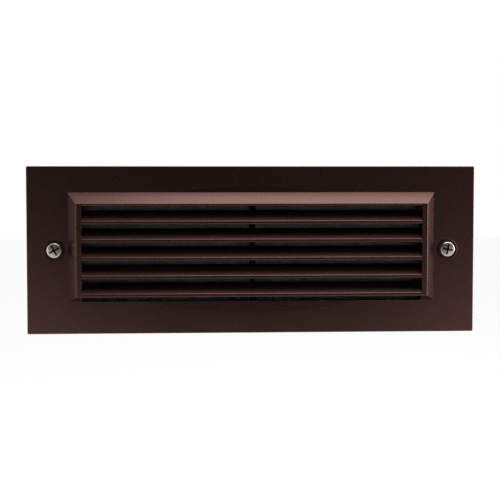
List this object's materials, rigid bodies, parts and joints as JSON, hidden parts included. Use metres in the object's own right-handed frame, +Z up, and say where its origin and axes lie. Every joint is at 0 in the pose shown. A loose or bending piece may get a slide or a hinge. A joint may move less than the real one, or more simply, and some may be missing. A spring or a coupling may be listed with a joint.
{
  "type": "louvred step light",
  "caption": "Recessed wall step light: louvred bevelled faceplate on a cast back box, with glass lens, LED board, driver and terminal block inside.",
  "frame": {"origin": "centre of the faceplate's back plane, which lies on the finished wall", "axes": "+X to the right seen from the front, +Y into the wall, +Z up; the light shines towards -Y"},
  "size_m": [0.235, 0.0977, 0.0874],
  "materials": {
    "bronze_powder_coat": "satin powder coat on die cast aluminium",
    "housing_casting": "powder coated die casting",
    "silicone_rubber": "moulded silicone",
    "clear_gasket": "moulded silicone",
    "frosted_glass": "acid etched",
    "stainless_steel": "passivated",
    "zinc_plated_steel": "zinc plated",
    "white_enamel": "gloss white powder coat",
    "thermal_silicone": "filled silicone",
    "board_laminate": "white solder mask",
    "led_package": "phosphor in a white package",
    "black_plastic": "moulded",
    "potting_resin": "cast resin",
    "ivory_plastic": "moulded",
    "brass": "turned",
    "green_screw": "green dyed zinc",
    "tinned_copper": "tinned",
    "red_insulation": "PVC",
    "black_insulation": "PVC",
    "white_insulation": "PVC",
    "green_insulation": "PVC"
  },
  "bodies": {
    "housing": {"housing": "housing_casting", "conduit_plug_left": "zinc_plated_steel", "conduit_plug_rear": "zinc_plated_steel", "reflector_tray": "white_enamel", "tray_screws": "zinc_plated_steel", "thermal_pad": "thermal_silicone", "led_board": "board_laminate", "led_chips": "led_package", "board_screws": "zinc_plated_steel", "tray_grommet": "silicone_rubber", "driver_case": "black_plastic", "driver_potting": "potting_resin", "driver_screws": "zinc_plated_steel", "terminal_block": "ivory_plastic", "terminal_clamps": "brass", "terminal_screws": "zinc_plated_steel", "block_screws": "zinc_plated_steel", "ground_screw": "green_screw", "ground_ring": "tinned_copper", "led_lead_red": "red_insulation", "led_lead_black": "black_insulation", "driver_lead_black": "black_insulation", "driver_lead_white": "white_insulation", "ground_lead": "green_insulation"},
    "faceplate": {"faceplate": "bronze_powder_coat", "faceplate_gasket": "silicone_rubber", "lens_gasket": "clear_gasket", "lens": "frosted_glass", "lens_clips": "stainless_steel", "lens_clip_screws": "stainless_steel"},
    "left_washer": {"left_screw_washer": "silicone_rubber"},
    "left_screw": {"left_faceplate_screw": "stainless_steel"},
    "right_washer": {"right_screw_washer": "silicone_rubber"},
    "right_screw": {"right_faceplate_screw": "stainless_steel"}
  },
  "joints": [
    {"name": "faceplate_pull", "type": "slide", "parent": "housing", "child": "faceplate", "axis": [0, -1, 0], "range_m": [0, 0.05]},
    {"name": "left_screw_travel", "type": "slide", "parent": "faceplate", "child": "left_washer", "axis": [0, -1, 0], "range_m": [0, 0.00873]},
    {"name": "left_screw_turn", "type": "hinge", "parent": "left_washer", "child": "left_screw", "pos_m": [-0.1032, 0, 0], "axis": [0, -1, 0], "range_deg": [0, 3965]},
    {"name": "right_screw_travel", "type": "slide", "parent": "faceplate", "child": "right_washer", "axis": [0, -1, 0], "range_m": [0, 0.00873]},
    {"name": "right_screw_turn", "type": "hinge", "parent": "right_washer", "child": "right_screw", "pos_m": [0.1032, 0, 0], "axis": [0, -1, 0], "range_deg": [0, 3965]}
  ],
  "couplings": [
    {"joint": "left_screw_turn", "follows": "left_screw_travel", "rad_per_m": 7915.8},
    {"joint": "right_screw_turn", "follows": "right_screw_travel", "rad_per_m": 7915.8}
  ]
}
